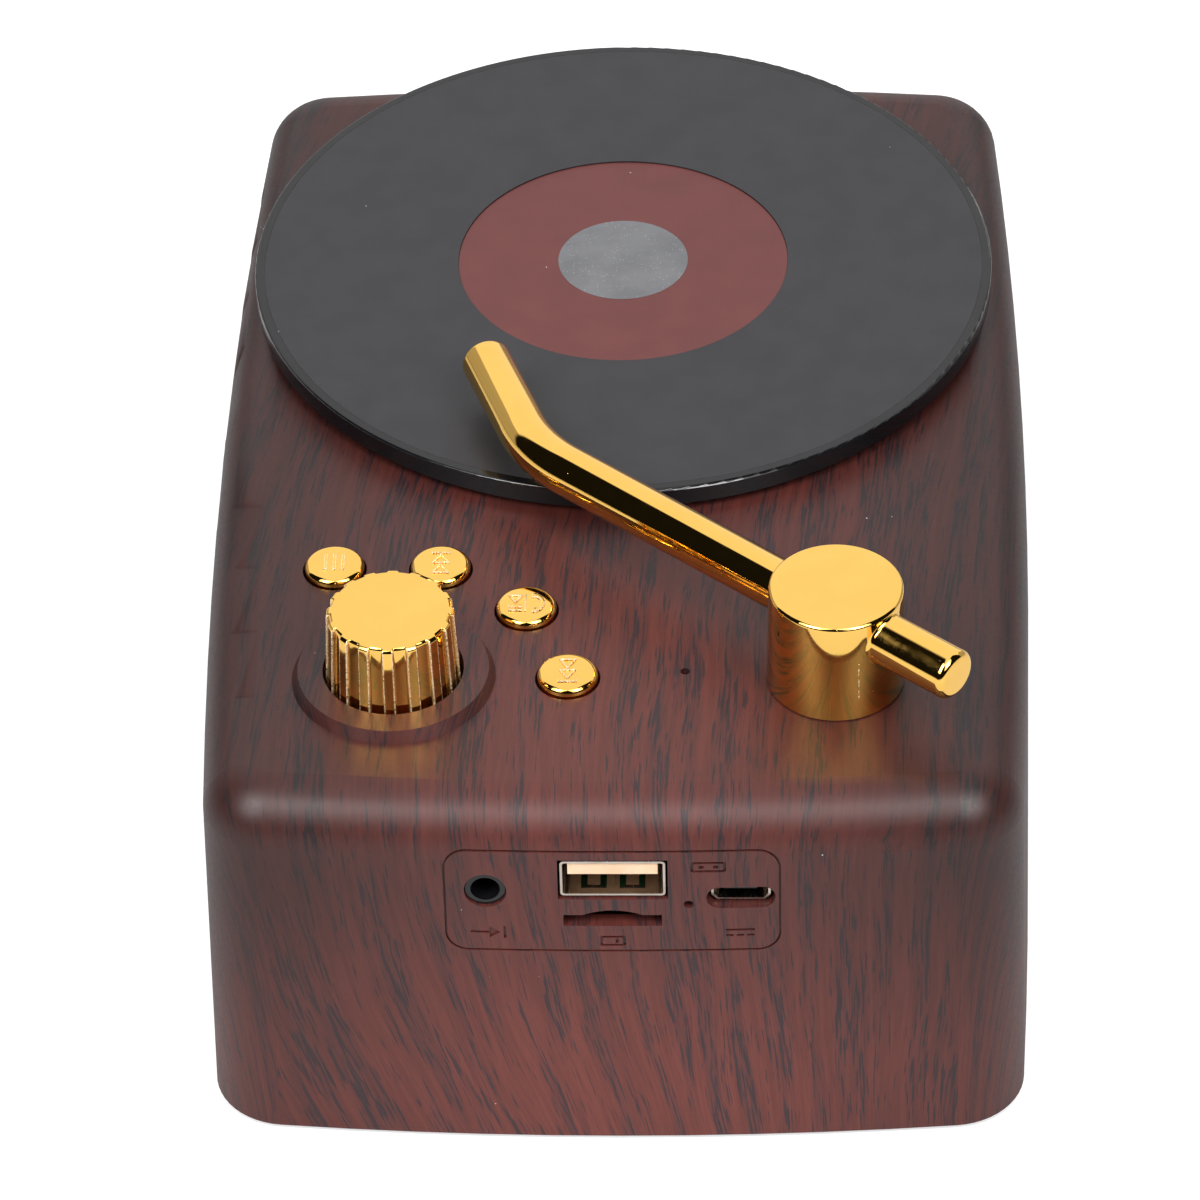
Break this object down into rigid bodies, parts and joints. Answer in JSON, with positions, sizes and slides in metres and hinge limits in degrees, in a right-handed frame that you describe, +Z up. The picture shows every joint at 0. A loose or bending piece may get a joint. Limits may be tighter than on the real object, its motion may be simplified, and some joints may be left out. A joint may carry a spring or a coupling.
{
  "type": "table loudspeaker",
  "caption": "Small battery loudspeaker shaped like a record player: wood-grain casing, black platter, gold tonearm, fluted volume knob, round buttons and a row of sockets.",
  "frame": {"origin": "on the table, below the middle of the casing", "axes": "+Z up, -Y out of the face with the sockets, +Y towards the platter end, -X out of the side with the loudspeaker grille"},
  "size_m": [0.1088, 0.161, 0.0696],
  "materials": {
    "wood_film": "moulded ABS with a satin printed wood-grain film",
    "black_plastic": "moulded ABS, fine texture",
    "rubber": "soft matte rubber",
    "steel": "zinc-plated steel",
    "grille_metal": "black powder coat",
    "foam": "closed-cell foam",
    "cone_paper": "pressed cone, fibrous",
    "coil_copper": "enamelled copper wire",
    "magnet": "sintered ferrite",
    "circuit_board": "glass-epoxy board with green solder mask",
    "chip_black": "moulded chip package",
    "socket_steel": "nickel-plated pressed steel",
    "tongue_cream": "moulded insulator",
    "jack_black": "moulded plastic",
    "lamp_clear": "clear moulded light pipe",
    "cell_wrap": "shrink sleeve",
    "wire_insulation": "soft insulation",
    "ribbon_grey": "flat ribbon",
    "gloss_black": "polished black plastic",
    "film_dark": "fine-grained matt film",
    "label_red": "printed label, matt",
    "spot_grey": "speckled matt print",
    "brass": "turned",
    "gold_plate": "vacuum-plated gold on moulded plastic"
  },
  "bodies": {
    "casing": {"upper_housing": "wood_film", "base_plate": "black_plastic", "rubber_feet": "rubber", "base_screws": "steel", "speaker_grille": "grille_metal", "driver_gasket": "foam", "driver_frame": "steel", "driver_surround": "rubber", "driver_cone": "cone_paper", "driver_dust_cap": "cone_paper", "driver_coil": "coil_copper", "driver_top_plate": "steel", "driver_magnet": "magnet", "driver_yoke": "steel", "driver_screws": "steel", "main_board": "circuit_board", "board_screws": "steel", "usb_shell": "socket_steel", "usb_tongue": "tongue_cream", "audio_jack": "jack_black", "charge_port": "socket_steel", "charge_tongue": "jack_black", "card_slot": "socket_steel", "status_lamp": "lamp_clear", "board_chips": "chip_black", "board_capacitors": "chip_black", "button_board": "circuit_board", "button_board_screws": "steel", "button_switches": "chip_black", "microphone": "socket_steel", "volume_encoder": "socket_steel", "battery_cell": "cell_wrap", "battery_pad": "foam", "battery_leads": "wire_insulation", "speaker_leads": "wire_insulation", "board_ribbon": "ribbon_grey", "spindle_bush": "brass"},
    "platter": {"platter_disc": "gloss_black", "record_film": "film_dark", "record_label": "label_red", "centre_spot": "spot_grey", "platter_spindle": "steel", "spindle_clip": "steel"},
    "tonearm": {"tonearm_rod": "gold_plate", "tonearm_tail": "gold_plate", "tonearm_drum": "gold_plate", "tonearm_washer": "steel", "tonearm_screw": "steel"},
    "volume": {"volume_knob": "gold_plate", "encoder_shaft": "steel"},
    "mode": {"mode_button": "gold_plate", "mode_actuator": "black_plastic"},
    "previous": {"previous_button": "gold_plate", "previous_actuator": "black_plastic"},
    "play": {"play_button": "gold_plate", "play_actuator": "black_plastic"},
    "next": {"next_button": "gold_plate", "next_actuator": "black_plastic"}
  },
  "joints": [
    {"name": "platter_spin", "type": "hinge", "parent": "casing", "child": "platter", "pos_m": [-0.0004, 0.0294, 0.0547], "axis": [0, 0, 1], "continuous": true},
    {"name": "tonearm_swing", "type": "hinge", "parent": "casing", "child": "tonearm", "pos_m": [0.0279, -0.0527, 0.0547], "axis": [0, 0, 1], "range_deg": [-10, 20]},
    {"name": "volume_turn", "type": "hinge", "parent": "casing", "child": "volume", "pos_m": [-0.0279, -0.0527, 0.0547], "axis": [0, 0, 1], "continuous": true},
    {"name": "mode_press", "type": "slide", "parent": "casing", "child": "mode", "axis": [0, 0, -1], "range_m": [0, 0.0006], "stiffness_N_per_m": 400, "springref_m": -0.002},
    {"name": "previous_press", "type": "slide", "parent": "casing", "child": "previous", "axis": [0, 0, -1], "range_m": [0, 0.0006], "stiffness_N_per_m": 400, "springref_m": -0.002},
    {"name": "play_press", "type": "slide", "parent": "casing", "child": "play", "axis": [0, 0, -1], "range_m": [0, 0.0006], "stiffness_N_per_m": 400, "springref_m": -0.002},
    {"name": "next_press", "type": "slide", "parent": "casing", "child": "next", "axis": [0, 0, -1], "range_m": [0, 0.0006], "stiffness_N_per_m": 400, "springref_m": -0.002}
  ]
}
